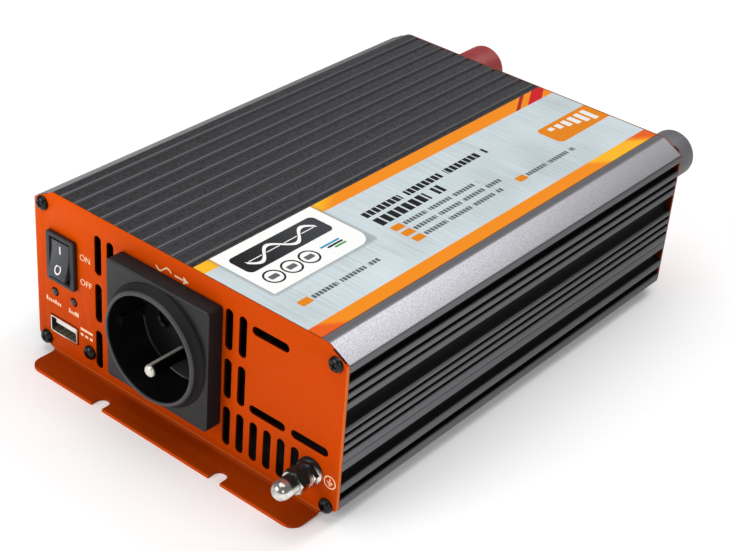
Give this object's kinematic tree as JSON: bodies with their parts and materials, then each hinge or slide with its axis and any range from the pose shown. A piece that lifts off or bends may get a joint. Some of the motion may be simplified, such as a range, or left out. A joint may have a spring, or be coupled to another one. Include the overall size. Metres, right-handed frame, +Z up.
{
  "type": "power inverter",
  "caption": "Compact DC to AC power inverter in a finned aluminium case with orange end panels, outlet, rocker switch, USB port, ground post and rear DC terminals.",
  "frame": {"origin": "middle of the flat underside of the case", "axes": "+X to the right seen from the front panel, +Y from the front panel to the rear, +Z up"},
  "size_m": [0.15, 0.2519, 0.0707],
  "materials": {
    "case_aluminium": "anodised dark grey, fine extrusion grain",
    "panel_paint": "orange powder coat, slight texture",
    "label_film": "brushed silver print under gloss laminate",
    "screw_black": "black oxide",
    "black_plastic": "moulded, satin",
    "outlet_plastic": "moulded, low gloss",
    "white_plastic": "moulded, satin",
    "knob_red": "moulded, satin",
    "knob_black": "moulded, satin",
    "bright_metal": "nickel plate",
    "brass": "machined",
    "circuit_board": "solder mask",
    "ferrite": "sintered, matt",
    "winding_tape": "wound film tape",
    "capacitor_sleeve": "shrink sleeve",
    "bracket_aluminium": "mill finish",
    "lamp_green": "tinted lens",
    "lamp_red": "tinted lens",
    "copper_wire": "enamelled copper",
    "cable_red": "sleeve",
    "cable_black": "sleeve"
  },
  "bodies": {
    "root": {"upper_casing": "case_aluminium", "lower_casing": "case_aluminium", "front_panel": "panel_paint", "rear_panel": "panel_paint", "top_label": "label_film", "front_screw_top_left": "screw_black", "front_screw_top_right": "screw_black", "front_screw_bottom_left": "screw_black", "front_screw_bottom_right": "screw_black", "rear_screw_top_left": "screw_black", "rear_screw_top_right": "screw_black", "rear_screw_bottom_left": "screw_black", "rear_screw_bottom_right": "screw_black", "bracket_screw": "screw_black", "fan_guard": "screw_black", "fan_screw_1": "screw_black", "fan_screw_2": "screw_black", "fan_screw_3": "screw_black", "fan_screw_4": "screw_black", "switch_housing": "black_plastic", "fan_frame": "black_plastic", "transistor_bank_left": "black_plastic", "transistor_bank_right": "black_plastic", "terminal_bush_positive": "black_plastic", "terminal_bush_negative": "black_plastic", "outlet_housing": "outlet_plastic", "usb_tongue": "white_plastic", "power_lamp": "lamp_green", "fault_lamp": "lamp_red", "usb_shell": "bright_metal", "earth_pin": "bright_metal", "ground_stud": "bright_metal", "ground_base_nut": "bright_metal", "ground_inner_nut": "bright_metal", "line_contact": "brass", "neutral_contact": "brass", "terminal_stud_positive": "brass", "terminal_stud_negative": "brass", "usb_board": "circuit_board", "main_board": "circuit_board", "board_bracket": "bracket_aluminium", "transformer_core_1": "ferrite", "transformer_core_2": "ferrite", "transformer_winding_1": "winding_tape", "transformer_winding_2": "winding_tape", "input_capacitor": "capacitor_sleeve", "output_capacitor": "capacitor_sleeve", "output_choke": "copper_wire", "dc_lead_positive": "cable_red", "dc_lead_negative": "cable_black", "ac_lead_line": "cable_black", "ac_lead_neutral": "cable_black"},
    "rocker": {"switch_rocker": "black_plastic"},
    "fan": {"fan_rotor": "black_plastic"},
    "positive_washer": {"clamp_washer_positive": "bright_metal"},
    "positive_knob": {"terminal_knob_positive": "knob_red"},
    "negative_washer": {"clamp_washer_negative": "bright_metal"},
    "negative_knob": {"terminal_knob_negative": "knob_black"},
    "ground_lock_washer": {"ground_washer": "bright_metal"},
    "ground_nut": {"ground_cap_nut": "bright_metal"}
  },
  "joints": [
    {"name": "power_rocker", "type": "hinge", "parent": "root", "child": "rocker", "pos_m": [-0.06, -0.1033, 0.0453], "axis": [1, 0, 0], "range_deg": [0, 20]},
    {"name": "fan_spin", "type": "hinge", "parent": "root", "child": "fan", "pos_m": [0.00905, 0.096, 0.03595], "axis": [0, 1, 0], "continuous": true},
    {"name": "positive_washer_travel", "type": "slide", "parent": "root", "child": "positive_washer", "axis": [0, 1, 0], "range_m": [0, 0.005]},
    {"name": "positive_knob_turn", "type": "hinge", "parent": "positive_washer", "child": "positive_knob", "pos_m": [-0.0405, 0.115, 0.056], "axis": [0, 1, 0], "range_deg": [0, 1440]},
    {"name": "negative_washer_travel", "type": "slide", "parent": "root", "child": "negative_washer", "axis": [0, 1, 0], "range_m": [0, 0.005]},
    {"name": "negative_knob_turn", "type": "hinge", "parent": "negative_washer", "child": "negative_knob", "pos_m": [0.0586, 0.115, 0.052], "axis": [0, 1, 0], "range_deg": [0, 1440]},
    {"name": "ground_washer_travel", "type": "slide", "parent": "root", "child": "ground_lock_washer", "axis": [0, -1, 0], "range_m": [0, 0.0032]},
    {"name": "ground_nut_turn", "type": "hinge", "parent": "ground_lock_washer", "child": "ground_nut", "pos_m": [0.0628, -0.112, 0.0172], "axis": [0, -1, 0], "range_deg": [0, 1440]}
  ],
  "couplings": [
    {"joint": "positive_knob_turn", "follows": "positive_washer_travel", "rad_per_m": 5026.5},
    {"joint": "negative_knob_turn", "follows": "negative_washer_travel", "rad_per_m": 5026.5},
    {"joint": "ground_nut_turn", "follows": "ground_washer_travel", "rad_per_m": 7854}
  ]
}
